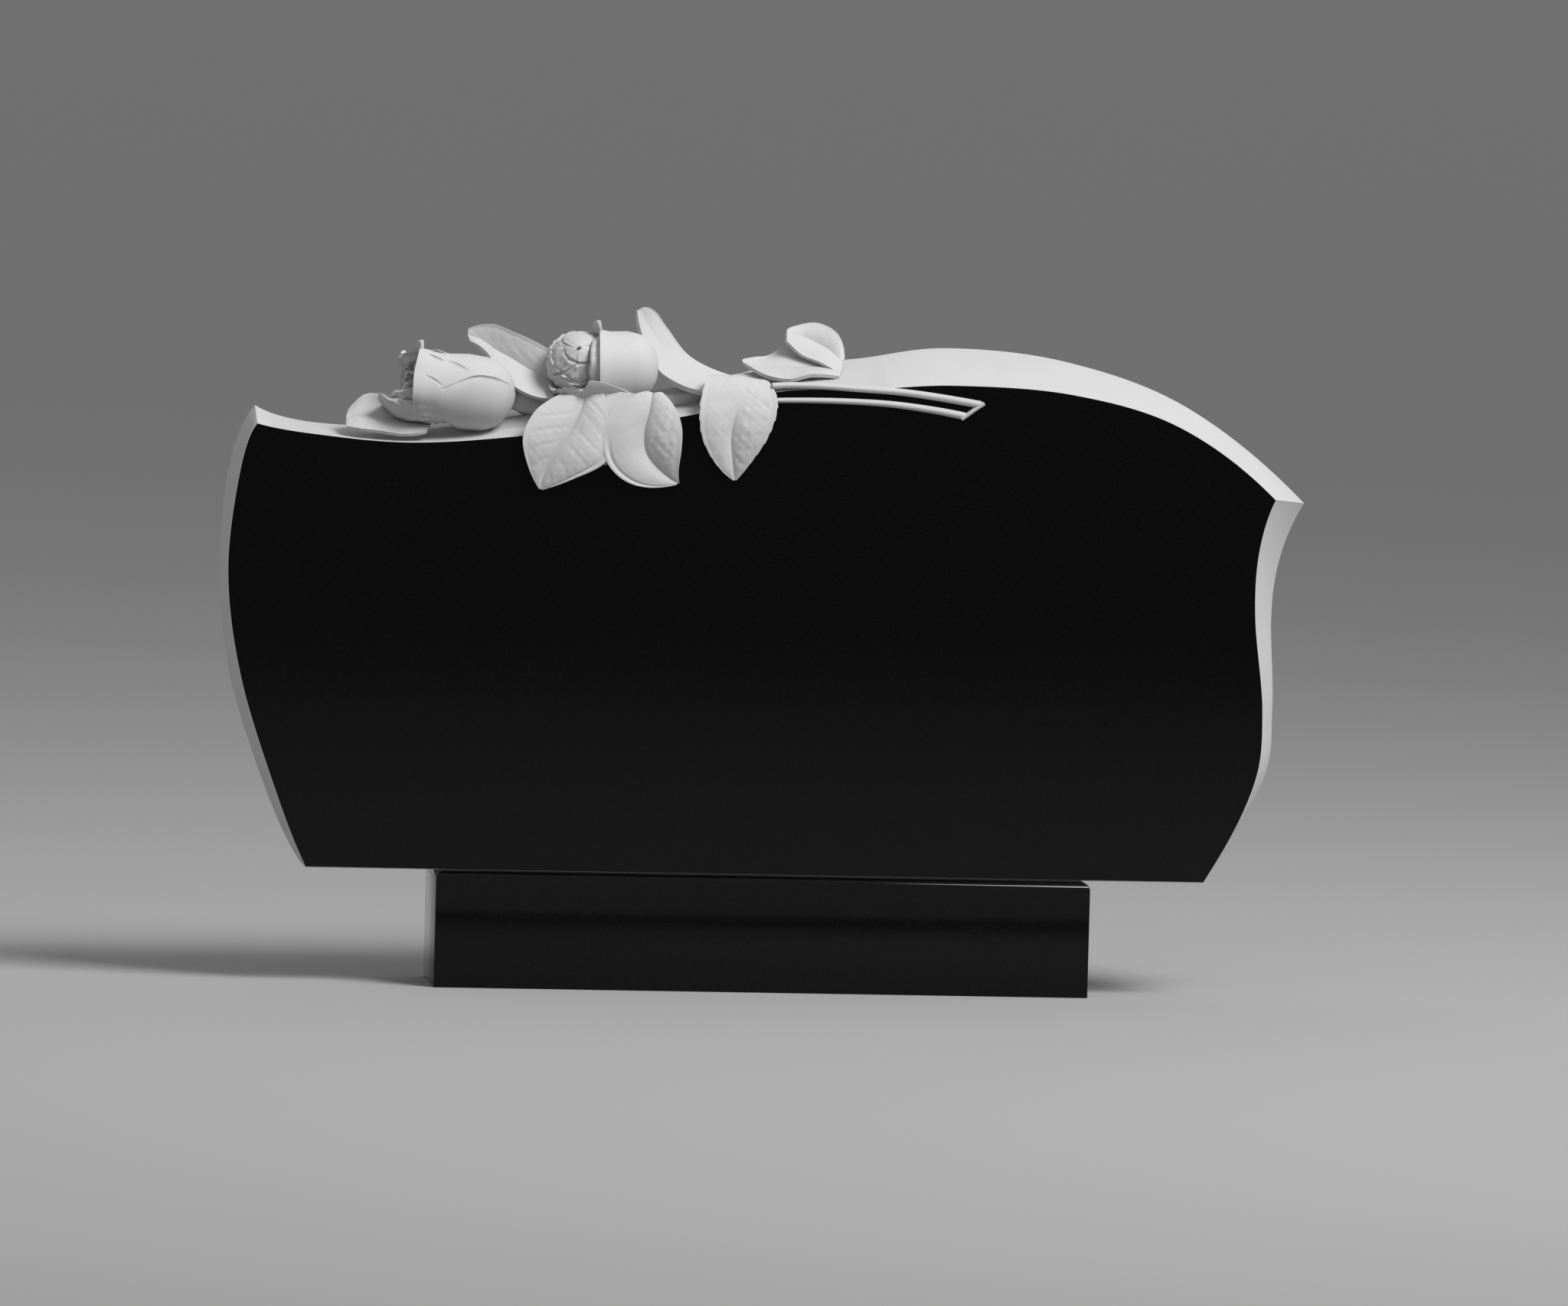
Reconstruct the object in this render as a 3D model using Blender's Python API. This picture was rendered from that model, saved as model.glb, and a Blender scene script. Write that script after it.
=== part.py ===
"""Horizontal headstone of black stone with a carved spray of two roses, standing on a low plinth.

Frame: metres, +Z up, the polished face looks towards -Y. The origin is the middle of the plinth's underside.
The slab's outline is a smooth curve through a few stations, given as shares of its width and height. The
spray keeps its size: its flowers are placed along the slab's top edge in leaf lengths from its middle, and
their own forms are shares of a leaf's or a rose's length.
"""

import bpy
import numpy as np

# Slab
SLAB_WIDTH = 1.20
SLAB_HEIGHT = 0.58
SLAB_THICKNESS = 0.10
SLAB_OFFSET = 0.0  # of the slab's middle from the plinth's middle, along X
EDGE_SLOPE = 0.045  # the most that the back of the slab stands out past its polished face

# Plinth
PLINTH_WIDTH = 0.72
PLINTH_DEPTH = 0.15
PLINTH_HEIGHT = 0.127
PLINTH_EDGE_RADIUS = 0.009
PLINTH_EDGE_STEPS = 4
BED_JOINT = 0.0003

# Spray
SPRAY_MIDDLE = -0.116  # place of the spray's middle across the slab, as a share of the slab's width
ROSE_LENGTH = 0.104  # from the foot of a head to its rim
ROSE_RADIUS = 0.0385
PETAL_STEP = 0.0030  # how far the free edge of a petal stands out from the next one
PETAL_THICKNESS = 0.0050
LEAF_LENGTH = 0.105
LEAF_THICKNESS = 0.009
LEAF_RELIEF = 0.034  # depth of stone behind a leaf that lies over the polished face
STEM_WIDTH = 0.0080  # at the leaves
STEM_END_WIDTH = 0.0115  # at the cut ends
STEM_RELIEF = 0.0055
STEM_SINK = 0.001
BED_HEIGHT = 0.026  # of the low ridge of stone that carries the flowers
BED_DEPTH = 0.062
JOIN_DEPTH = 0.008  # how far the stems reach into the slab

# Stations of the slab's outline. Each row is a point of the polished face, across and up as shares of the
# slab's width and height, and then how far the back of the slab stands out there, as shares of EDGE_SLOPE.
TOP_EDGE = (
    (-0.471, 0.836, 0.07, 0.34),
    (-0.417, 0.818, 0.02, 0.19),
    (-0.329, 0.806, 0.00, 0.33),
    (-0.225, 0.824, 0.00, 0.53),
    (-0.077, 0.868, 0.00, 0.58),
    (0.004, 0.916, 0.00, 0.52),
    (0.085, 0.924, 0.00, 0.66),
    (0.167, 0.935, 0.02, 0.82),
    (0.275, 0.922, 0.09, 0.71),
    (0.375, 0.864, 0.44, 0.40),
    (0.465, 0.730, 1.00, -0.16),
)
RIGHT_EDGE = (
    TOP_EDGE[-1],
    (0.451, 0.629, 0.82, -0.18),
    (0.449, 0.505, 0.69, -0.04),
    (0.458, 0.324, 0.54, 0.00),
    (0.451, 0.182, 0.52, 0.00),
    (0.407, 0.000, 0.27, 0.00),
)
LEFT_EDGE = (
    (-0.418, 0.000, 0.00, 0.00),
    (-0.446, 0.137, -0.13, 0.00),
    (-0.481, 0.356, -0.14, 0.00),
    (-0.495, 0.556, -0.06, 0.00),
    (-0.486, 0.746, -0.12, 0.04),
    TOP_EDGE[0],
)
BOTTOM_EDGE = (RIGHT_EDGE[-1], LEFT_EDGE[0])
EDGE_STEPS = 5  # faces between two stations

# Leaves that hang over the polished face. The base is the way across from the spray's middle, the rise
# above the face's top edge and the distance out from the face. The other vectors are base to tip, how the
# midrib arches at its middle, and the two sides where it is widest. All are in leaf lengths.
FACE_LEAVES = {
    "leaf_front_left": dict(
        base=(-0.39, 0.13, 0.124),
        tip=(-0.72, 0.02, -0.84),
        arch=(-0.07, -0.07, 0.19),
        left=(-0.40, 0.05, 0.20),
        right=(0.34, 0.06, -0.36),
        foot=0.60,
    ),
    "leaf_front_middle": dict(
        base=(0.00, 0.27, 0.104),
        tip=(0.35, 0.00, -0.96),
        arch=(-0.17, -0.08, -0.01),
        left=(-0.38, 0.05, -0.20),
        right=(0.36, 0.07, 0.08),
        foot=0.40,
    ),
    "leaf_front_right": dict(
        base=(0.90, 0.18, 0.084),
        tip=(0.02, 0.02, -1.00),
        arch=(-0.02, -0.09, 0.00),
        left=(-0.38, 0.07, 0.00),
        right=(0.44, 0.07, 0.03),
        foot=0.85,
    ),
}
# Leaves on top of the slab. The last number of their base is the depth behind the slab's middle plane.
FREE_LEAVES = {
    "leaf_far_left": dict(
        base=(-2.16, 0.16, -0.04),
        tip=(-0.98, -0.15, -0.04),
        arch=(0.00, 0.00, 0.06),
        left=(0.00, -0.28, -0.13),
        right=(0.00, 0.26, 0.34),
    ),
    "leaf_behind_left_rose": dict(
        base=(-0.96, 0.36, 0.20),
        tip=(-0.92, -0.10, 0.66),
        arch=(0.00, -0.05, 0.00),
        left=(-0.12, -0.20, -0.24),
        right=(0.12, 0.20, 0.26),
    ),
    "leaf_behind_right_rose": dict(
        base=(0.73, 0.30, 0.05),
        tip=(-0.86, 0.12, 0.75),
        arch=(-0.04, 0.00, -0.08),
        left=(-0.20, -0.24, -0.17),
        right=(0.18, 0.30, 0.16),
    ),
    "leaf_sprig_upper": dict(
        base=(2.13, 0.28, 0.24),
        tip=(-0.62, -0.22, 0.24),
        arch=(0.00, 0.00, 0.05),
        left=(-0.06, -0.10, -0.17),
        right=(0.02, 0.20, 0.24),
    ),
    "leaf_sprig_lower": dict(
        base=(2.08, 0.16, 0.10),
        tip=(-1.06, -0.30, 0.16),
        arch=(0.00, 0.00, -0.03),
        left=(0.00, -0.28, -0.15),
        right=(0.00, 0.30, 0.18),
    ),
    "sepal": dict(
        base=(-0.63, 0.34, -0.36),
        tip=(0.60, -0.06, -0.12),
        arch=(0.00, -0.10, 0.04),
        left=(0.00, 0.12, 0.12),
        right=(0.00, 0.00, -0.15),
    ),
}

# Every leaf: shares of its length along it, and of its greatest width across it.
WIDEST = 0.38
LEAF_FOOT = 0.30  # width at the base, where a leaf has none of its own
LEAF_POINT = 0.03  # width at the tip
SHOULDER_POWER = 0.8
POINT_POWER = 1.7
LEAF_PUFF = 0.05  # how far each half swells between midrib and margin, as a share of the leaf's length
MARGIN_THINNING = 0.55
RELIEF_TAPER = 0.25
LEAF_ROWS = 9
LEAF_COLUMNS = 9

# Rose heads: the foot's place as for a leaf's base, the way the flower opens, and its turn about its axis.
ROSES = {
    "rose_left": dict(foot=(-1.41, 0.37, 0.02), opens=(-0.97, -0.22, 0.05), turn=20.0),
    "rose_right": dict(foot=(0.00, 0.43, 0.12), opens=(-0.80, -0.58, 0.07), turn=70.0),
}
# Rows of a head's side: height along its axis and radius, as shares of its length and radius.
HEAD_ROWS = (
    (0.02, 0.40),
    (0.10, 0.72),
    (0.25, 0.92),
    (0.48, 1.00),
    (0.74, 0.97),
    (0.92, 0.96),
    (1.00, 1.03),
    (1.00, 0.94),
    (0.84, 0.84),
    (0.78, 0.50),
)
RIM_ROW = 6
PETALS_ROUND = 3
PETAL_COLUMNS = 8
PETAL_OVERHANG = 0.03  # share of a petal's width that its free edge slopes over
PETAL_TWIST = 0.35  # turns of a petal's edge from foot to rim, as a share of one petal
STEP_FROM = 0.15  # height up to which a petal's free edge grows out of the foot
RIM_TIP = 0.13  # how far the middle of a petal's rim stands above its ends
RIM_BAND = 0.16  # how far down the head that rise reaches
RIM_POWER = 1.5
# Inner petals: start angle in turns, half span in turns, radius at foot and at lip, top height.
INNER_PETALS = (
    (0.10, 0.17, 0.74, 0.78, 1.16),
    (0.43, 0.17, 0.72, 0.74, 1.20),
    (0.77, 0.17, 0.74, 0.78, 1.14),
    (0.25, 0.18, 0.46, 0.50, 1.30),
    (0.75, 0.18, 0.46, 0.48, 1.26),
)
INNER_FOOT = 0.70  # height where the inner petals start, inside the hollow
INNER_ROWS = 5
INNER_COLUMNS = 7
INNER_NARROWING = 0.25  # of the span towards the lip
INNER_CROWN = 0.16  # how much lower a petal's corners are than its middle
INNER_SPIRAL = 0.10  # how far one side of a petal tucks in behind the next
LIP_THINNING = 0.35
BUD_ROWS = ((INNER_FOOT, 0.30), (1.10, 0.28), (1.28, 0.20), (1.36, 0.08))
BUD_SIDES = 10

# Stems: the start and the cut end, as across and rise like a leaf's base, and how far the line crowns.
STEMS = {
    "stem_upper": dict(start=(1.21, -0.03), end=(3.50, -0.170), crown=0.085),
    "stem_lower": dict(start=(1.21, -0.13), end=(3.31, -0.330), crown=0.075),
}
STEM_ROWS = 12
STEM_SIDES = 6
STEM_ROUNDNESS = 0.7  # power of the bar's half-round section, below 1 for fuller shoulders
CUT_SLANT = 1.4  # how far the cut end slants along the stem for each step across it

# Flower bed: its ends, and its middle's rise and depth, like a leaf's base.
BED_FROM = -2.39
BED_TO = 2.18
BED_RISE = 0.02
BED_BACK = 0.10
BED_END = 0.12  # size of its blunt ends
BED_POWER = 0.35
BED_ROWS = 15
BED_SIDES = 12


def clear_scene():
    for thing in list(bpy.data.objects):
        bpy.data.objects.remove(thing, do_unlink=True)


def stone(name, colour, roughness):
    material = bpy.data.materials.new(name)
    material.use_nodes = True
    shader = material.node_tree.nodes["Principled BSDF"]
    shader.inputs["Base Color"].default_value = (*colour, 1.0)
    shader.inputs["Roughness"].default_value = roughness
    shader.inputs["Metallic"].default_value = 0.0
    return material


def smooth_curve(stations, steps):
    """Points on the curve that passes through the stations, each span a cubic whose end slopes follow the
    neighbouring stations. The last station is left out, so that edges can follow one another."""
    p = np.array(stations, dtype=float)
    slope = np.gradient(p, axis=0)
    slope[0] = 2 * (p[1] - p[0]) - slope[1] if len(p) > 2 else p[1] - p[0]
    slope[-1] = 2 * (p[-1] - p[-2]) - slope[-2] if len(p) > 2 else p[1] - p[0]
    t = np.linspace(0, 1, steps, endpoint=False)[:, None]
    spans = [
        (1 + 2 * t) * (1 - t) ** 2 * p[i]
        + t * (1 - t) ** 2 * slope[i]
        + t**2 * (3 - 2 * t) * p[i + 1]
        + t**2 * (t - 1) * slope[i + 1]
        for i in range(len(p) - 1)
    ]
    return np.concatenate(spans)


def outline():
    """The face's outline and the back's, clockwise as seen from the front, in metres across and up."""
    edges = (TOP_EDGE, RIGHT_EDGE, BOTTOM_EDGE, LEFT_EDGE)
    loop = np.concatenate([smooth_curve(edge, EDGE_STEPS) for edge in edges])
    face = loop[:, :2] * (SLAB_WIDTH, SLAB_HEIGHT) + (
        SLAB_OFFSET,
        PLINTH_HEIGHT + BED_JOINT,
    )
    back = face + loop[:, 2:] * EDGE_SLOPE
    return face, back


def on_top(across, rise, depth):
    """A point over the top edge, in leaf lengths: across from the spray's middle, rise from the face's top
    edge there and depth behind the slab's middle plane."""
    share = SPRAY_MIDDLE + across * LEAF_LENGTH / SLAB_WIDTH
    edge = smooth_curve(TOP_EDGE, EDGE_STEPS)
    height = np.interp(share, edge[:, 0], edge[:, 1]) * SLAB_HEIGHT
    z = PLINTH_HEIGHT + BED_JOINT + height + rise * LEAF_LENGTH
    return np.array((SLAB_OFFSET + share * SLAB_WIDTH, depth * LEAF_LENGTH, z))


def over_face(across, rise, out):
    """The same, with the distance out from the polished face in place of the depth."""
    point = on_top(across, rise, 0)
    point[1] = -SLAB_THICKNESS / 2 - out * LEAF_LENGTH
    return point


def loft(name, rings, material):
    """A closed solid through rings of points, with a fan of triangles over each end."""
    rings = np.asarray(rings, dtype=float)
    count, size, _ = rings.shape
    points = [tuple(p) for p in rings.reshape(-1, 3)]
    faces = []
    for i in range(count - 1):
        for j in range(size):
            k = (j + 1) % size
            faces.append(
                (i * size + j, i * size + k, (i + 1) * size + k, (i + 1) * size + j)
            )
    for row, turned in ((0, True), (count - 1, False)):
        middle = len(points)
        points.append(tuple(rings[row].mean(axis=0)))
        for j in range(size):
            a, b = row * size + j, row * size + (j + 1) % size
            faces.append((b, a, middle) if turned else (a, b, middle))
    mesh = bpy.data.meshes.new(name)
    mesh.from_pydata(points, [], faces)
    mesh.materials.append(material)
    mesh.validate()
    thing = bpy.data.objects.new(name, mesh)
    bpy.context.scene.collection.objects.link(thing)
    point_outwards(mesh)
    return thing


def point_outwards(mesh):
    """Turns the faces round if the mesh holds a negative volume."""
    mesh.calc_loop_triangles()
    points = np.array([v.co for v in mesh.vertices])
    corners = points[np.array([t.vertices for t in mesh.loop_triangles])]
    volume = np.einsum(
        "ij,ij->", corners[:, 0], np.cross(corners[:, 1], corners[:, 2])
    )
    if volume < 0:
        mesh.flip_normals()


def slab(face_material, edge_material):
    face, back = outline()
    half = SLAB_THICKNESS / 2
    count = len(face)
    points = [(x, -half, z) for x, z in face] + [(x, half, z) for x, z in back]
    sides = [
        (i, (i + 1) % count, count + (i + 1) % count, count + i) for i in range(count)
    ]
    faces = [
        tuple(reversed(range(count))),
        tuple(range(count, 2 * count)),
        *sides,
    ]
    mesh = bpy.data.meshes.new("stele")
    mesh.from_pydata(points, [], faces)
    mesh.materials.append(face_material)
    mesh.materials.append(edge_material)
    mesh.polygons.foreach_set("material_index", [0, 0] + [1] * count)
    mesh.validate()
    point_outwards(mesh)
    thing = bpy.data.objects.new("stele", mesh)
    bpy.context.scene.collection.objects.link(thing)
    return thing


def leaf_width(s, foot):
    """A leaf's width from base to tip, 1 at its widest: the foot, full shoulders and a pointed tip."""
    shoulder = np.sin(np.pi / 2 * np.minimum(s / WIDEST, 1)) ** SHOULDER_POWER
    point = 1 - np.maximum((s - WIDEST) / (1 - WIDEST), 0) ** POINT_POWER
    return (foot + (1 - foot) * shoulder) * (LEAF_POINT + (1 - LEAF_POINT) * point)


def leaf(name, material, base, shape, relief=0.0):
    """A closed leaf: the upper skin runs from the midrib along the left and right vectors, and the lower
    skin lies a thickness behind it, thinner at the margin, or straight back into the stone by the relief."""
    s = np.linspace(0, 1, LEAF_ROWS)[:, None, None]
    t = np.linspace(-1, 1, LEAF_COLUMNS)[None, :, None]
    tip, arch, left, right = (
        LEAF_LENGTH * np.array(shape[part]) for part in ("tip", "arch", "left", "right")
    )
    rib = base + tip * s + arch * 4 * s * (1 - s)
    side = np.where(t < 0, left, right)
    normal = np.cross(tip, right - left)
    outwards = np.sign(normal[2] / 2 - normal[1])
    normal *= outwards / np.linalg.norm(normal)
    width = leaf_width(s, shape.get("foot", LEAF_FOOT))
    puff = LEAF_PUFF * LEAF_LENGTH * np.sin(np.pi * np.abs(t)) * width
    upper = rib + np.abs(t) * width * side + puff * normal
    if relief:
        lower = upper + np.array((0.0, relief, 0.0)) * (1 - RELIEF_TAPER * t**2)
    else:
        lower = upper - normal * LEAF_THICKNESS * (1 - MARGIN_THINNING * t**2)
    rings = np.concatenate([upper, lower[:, ::-1]], axis=1)
    return loft(name, rings, material)


def rose_frame(foot, opens, turn):
    """The foot's place, the flower's axis and two directions across it."""
    axis = np.array(opens) / np.linalg.norm(opens)
    first = np.cross(axis, (0.0, 1.0, 0.0))
    first /= np.linalg.norm(first)
    second = np.cross(axis, first)
    angle = np.radians(turn)
    return (
        on_top(*foot),
        axis,
        np.cos(angle) * first + np.sin(angle) * second,
        np.cos(angle) * second - np.sin(angle) * first,
    )


def around(frame, height, radius, turns):
    """Points of a head from their height, radius and angle in turns."""
    foot, axis, first, second = frame
    height, radius, angle = (
        np.asarray(a)[..., None] for a in (height, radius, 2 * np.pi * turns)
    )
    return (
        foot
        + axis * height * ROSE_LENGTH
        + radius * (first * np.cos(angle) + second * np.sin(angle))
    )


def outer_skin(name, material, frame):
    """The outer petals: each steps out over the next along an edge that winds up the head, and the middle
    of each rim rises. The skin turns over the rim and closes as a hollow."""
    rows = np.array(HEAD_ROWS)
    height, radius = rows[:, :1], rows[:, 1:]
    share = np.linspace(0, 1, PETAL_COLUMNS)
    petal = np.arange(PETALS_ROUND)[:, None]
    turns = (petal + PETAL_OVERHANG + (1 - 2 * PETAL_OVERHANG) * share) / PETALS_ROUND
    twist = PETAL_TWIST / PETALS_ROUND * np.minimum(height, 1)
    share = np.tile(share, PETALS_ROUND)[None]
    row = np.arange(len(rows))[:, None]
    near_rim = np.exp(-(((height - 1) / RIM_BAND) ** 2)) * (abs(row - RIM_ROW) <= 1)
    tall = height + RIM_TIP * near_rim * np.sin(np.pi * share) ** RIM_POWER
    step = PETAL_STEP * share * (row <= RIM_ROW) * np.minimum(1, height / STEP_FROM)
    wide = radius * ROSE_RADIUS + step
    rings = around(frame, tall, wide, turns.reshape(1, -1) + twist)
    return loft(name, rings, material)


def inner_petal(name, material, frame, start, span, low, lip, top):
    """A curved petal that stands in the hollow, with a thinner lip whose corners are lower."""
    up = np.linspace(0, 1, INNER_ROWS)[:, None]
    t = np.linspace(-1, 1, INNER_COLUMNS)[None, :]
    turns = start + span * t * (1 - INNER_NARROWING * up**3)
    height = INNER_FOOT + (top - INNER_FOOT) * up * (1 - INNER_CROWN * t**2)
    radius = ROSE_RADIUS * (low + (lip - low) * up**4 - INNER_SPIRAL * t * up)
    outside = around(frame, height, radius, turns)
    thickness = PETAL_THICKNESS * (1 - LIP_THINNING * up)
    inside = around(frame, height, radius - thickness, turns)
    return loft(name, np.concatenate([outside, inside[:, ::-1]], axis=1), material)


def bud(name, material, frame):
    rows = np.array(BUD_ROWS)[:, :, None] * np.ones(BUD_SIDES)
    turns = np.arange(BUD_SIDES)[None] / BUD_SIDES
    return loft(name, around(frame, rows[:, 0], rows[:, 1] * ROSE_RADIUS, turns), material)


def rose(name, material, foot, opens, turn):
    """A rose head: outer petals that close over a hollow, with inner petals and a bud standing in it."""
    frame = rose_frame(foot, opens, turn)
    inner = [
        inner_petal(f"{name}_petal_{number}", material, frame, *petal)
        for number, petal in enumerate(INNER_PETALS)
    ]
    return [outer_skin(name, material, frame), *inner, bud(f"{name}_bud", material, frame)]


def stem(name, material, start, end, crown):
    """A cut stem in low relief on the polished face: a rounded bar that widens to its slanting cut end."""
    t = np.linspace(0, 1, STEM_ROWS)[:, None]
    first = on_top(*start, 0)
    last = on_top(*end, 0)
    x = first[0] + (last[0] - first[0]) * t
    z = first[2] + (last[2] - first[2]) * t + crown * LEAF_LENGTH * 4 * t * (1 - t)
    angle = np.linspace(0, np.pi, STEM_SIDES)[None, :]
    up = (STEM_WIDTH + (STEM_END_WIDTH - STEM_WIDTH) * t) / 2 * np.cos(angle)
    out = (STEM_RELIEF + STEM_SINK) * np.sin(angle) ** STEM_ROUNDNESS - STEM_SINK
    at_end = t == 1
    y = -SLAB_THICKNESS / 2 - out
    front = np.stack([x + CUT_SLANT * up * at_end, y + 0 * x, z + up], axis=2)
    back = front[:, [-1, 0]].copy()
    back[:, :, 1] = JOIN_DEPTH - SLAB_THICKNESS / 2
    return loft(name, np.concatenate([front, back], axis=1), material)


def flower_bed(material):
    """The low ridge that the flowers are cut from, along the slab's top edge."""
    t = np.linspace(0, 1, BED_ROWS)
    size = np.sin(np.pi * t) ** BED_POWER + BED_END
    angle = np.linspace(0, 2 * np.pi, BED_SIDES, endpoint=False)
    rings = [
        on_top(across, BED_RISE, BED_BACK)
        + np.outer(np.cos(angle), (0, swell * BED_DEPTH / 2, 0))
        + np.outer(np.sin(angle), (0, 0, swell * BED_HEIGHT))
        for across, swell in zip(BED_FROM + (BED_TO - BED_FROM) * t, size)
    ]
    return loft("flower_bed", rings, material)


def carve(block, parts):
    """Joins each carved part to the block, so that the whole is one solid. Thin petals that cross one
    another make the exact solver drop the block, so the joins use the solver for closed meshes."""
    for part in parts:
        part.hide_render = True
        part.display_type = "WIRE"
        join = block.modifiers.new(part.name, "BOOLEAN")
        join.operation = "UNION"
        join.solver = "MANIFOLD"
        join.material_mode = "TRANSFER"
        join.object = part


def plinth(material):
    """A block whose four top edges are rounded."""
    half_x, half_y = PLINTH_WIDTH / 2, PLINTH_DEPTH / 2
    radius = min(PLINTH_EDGE_RADIUS, PLINTH_HEIGHT / 2)
    angle = np.linspace(0, np.pi / 2, PLINTH_EDGE_STEPS + 1)
    inset = np.concatenate([[0], radius * (1 - np.cos(angle))])
    level = np.concatenate([[0], PLINTH_HEIGHT - radius + radius * np.sin(angle)])
    corners = ((-1, -1), (1, -1), (1, 1), (-1, 1))
    rings = [
        [(sx * (half_x - d), sy * (half_y - d), z) for sx, sy in corners]
        for d, z in zip(inset, level)
    ]
    return loft("plinth", rings, material)


def build():
    clear_scene()
    black = stone("polished_black_stone", (0.012, 0.012, 0.013), 0.08)
    pale = stone("honed_stone", (0.55, 0.55, 0.55), 0.55)
    block = slab(black, pale)
    parts = [flower_bed(pale)]
    for name, place in ROSES.items():
        parts += rose(name, pale, **place)
    for name, shape in FREE_LEAVES.items():
        parts.append(leaf(name, pale, on_top(*shape["base"]), shape))
    for name, shape in FACE_LEAVES.items():
        parts.append(leaf(name, pale, over_face(*shape["base"]), shape, LEAF_RELIEF))
    for name, shape in STEMS.items():
        parts.append(stem(name, pale, **shape))
    carve(block, parts)
    plinth(stone("plinth_black_stone", (0.014, 0.014, 0.015), 0.10))


build()
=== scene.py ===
# %% [markdown]
# # A horizontal headstone with a carved spray of roses
# The stone is a wide slab of black gabbro on a low plinth. Its face is polished until it mirrors the ground,
# its edges are honed to a pale matt grey, and two roses with their leaves and cut stems lie over the top
# edge, carved in the same block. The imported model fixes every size; this lesson makes the surfaces.

import math

import bpy
import numpy as np
from mathutils import Matrix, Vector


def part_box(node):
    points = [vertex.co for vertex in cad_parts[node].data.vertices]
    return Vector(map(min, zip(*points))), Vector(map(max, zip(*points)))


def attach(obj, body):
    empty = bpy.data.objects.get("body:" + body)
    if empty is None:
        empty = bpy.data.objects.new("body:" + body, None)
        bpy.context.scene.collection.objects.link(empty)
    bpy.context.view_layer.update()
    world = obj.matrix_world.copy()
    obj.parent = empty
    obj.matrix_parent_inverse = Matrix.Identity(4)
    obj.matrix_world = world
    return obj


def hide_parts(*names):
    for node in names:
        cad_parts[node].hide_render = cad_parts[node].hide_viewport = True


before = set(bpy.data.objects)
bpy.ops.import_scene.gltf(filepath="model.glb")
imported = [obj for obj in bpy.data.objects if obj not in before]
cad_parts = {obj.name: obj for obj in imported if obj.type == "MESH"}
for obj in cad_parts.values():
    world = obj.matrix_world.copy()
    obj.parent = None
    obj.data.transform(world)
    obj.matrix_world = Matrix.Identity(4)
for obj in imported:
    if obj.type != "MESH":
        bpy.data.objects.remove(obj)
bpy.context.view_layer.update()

# %% [markdown]
# ## Places
# The slab's width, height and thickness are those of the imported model, and the heights at which the two
# stones stand are read from the frame. The flowers are placed from one point, the middle of the spray on the
# face's top edge: a sculptor's pointing frame works the same way, with millimetres across to the right, out
# towards the viewer and up. One helper turns those three numbers into a place in the model.

# %% Measures of the stone
MM = 0.001
SLAB_WIDTH = 1.20
SLAB_HEIGHT = 0.58
SLAB_THICKNESS = 0.10
EDGE_SLOPE = 0.045
SPRAY_MIDDLE = -0.116

slab_low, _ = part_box("stele")
_, plinth_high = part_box("plinth")
slab_foot = slab_low[2]
face_y = -SLAB_THICKNESS / 2
print("slab stands at", round(float(slab_foot), 4), "m, its face at y =", face_y)


# %% Smooth curves through a few points
def through(points, s):
    """The smooth curve through the points, at shares s of the way along. Each span is a cubic that leaves and
    meets its end points with half the step between their neighbours as its slope."""
    p = np.asarray(points, dtype=float)
    slope = np.gradient(p, axis=0)
    slope[0] = 2 * (p[1] - p[0]) - slope[1]
    slope[-1] = 2 * (p[-1] - p[-2]) - slope[-2]
    x = np.clip(np.asarray(s, dtype=float), 0, 1) * (len(p) - 1)
    i = np.minimum(x.astype(int), len(p) - 2)
    t = (x - i)[..., None]
    start = (1 + 2 * t) * (1 - t) ** 2 * p[i] + t * (1 - t) ** 2 * slope[i]
    return start + t**2 * (3 - 2 * t) * p[i + 1] + t**2 * (t - 1) * slope[i + 1]


def ease(x):
    """A soft step from 0 to 1 as x goes from 0 to 1: three times its square less twice its cube."""
    x = np.clip(x, 0, 1)
    return x * x * (3 - 2 * x)


# %% [markdown]
# ## Closed meshes from grids
# Everything carved here is one of two solids: a sheet with an upper and a lower skin, or a bar of rings
# closed by a cap at each end. Both could be made with Solidify or a lofting add-on, but as arrays every
# point follows from its two parameters, and a whole leaf is one expression.

# %% Helpers that make closed meshes
def add_mesh(name, points, faces, materials, finish=0):
    """A mesh object from arrays. A mesh that holds a negative volume, summed as the triple products of its
    triangles' corners, has its faces turned round."""
    mesh = bpy.data.meshes.new(name)
    mesh.from_pydata(points.reshape(-1, 3).tolist(), [], [list(f) for f in faces])
    for material in materials:
        mesh.materials.append(material)
    mesh.polygons.foreach_set("material_index", np.broadcast_to(finish, len(faces)).astype(np.int32))
    mesh.validate()
    mesh.calc_loop_triangles()
    place = np.empty(len(mesh.vertices) * 3)
    mesh.vertices.foreach_get("co", place)
    corner = np.empty(len(mesh.loop_triangles) * 3, dtype=np.int32)
    mesh.loop_triangles.foreach_get("vertices", corner)
    a, b, c = place.reshape(-1, 3)[corner.reshape(-1, 3)].transpose(1, 0, 2)
    if np.einsum("ij,ij->", a, np.cross(b, c)) < 0:
        mesh.flip_normals()
    thing = bpy.data.objects.new(name, mesh)
    bpy.context.scene.collection.objects.link(thing)
    return thing


def quads(a, b):
    """Four-cornered faces between two lines of point numbers of the same length."""
    return np.stack([a[:-1], a[1:], b[1:], b[:-1]], axis=-1).reshape(-1, 4)


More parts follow.
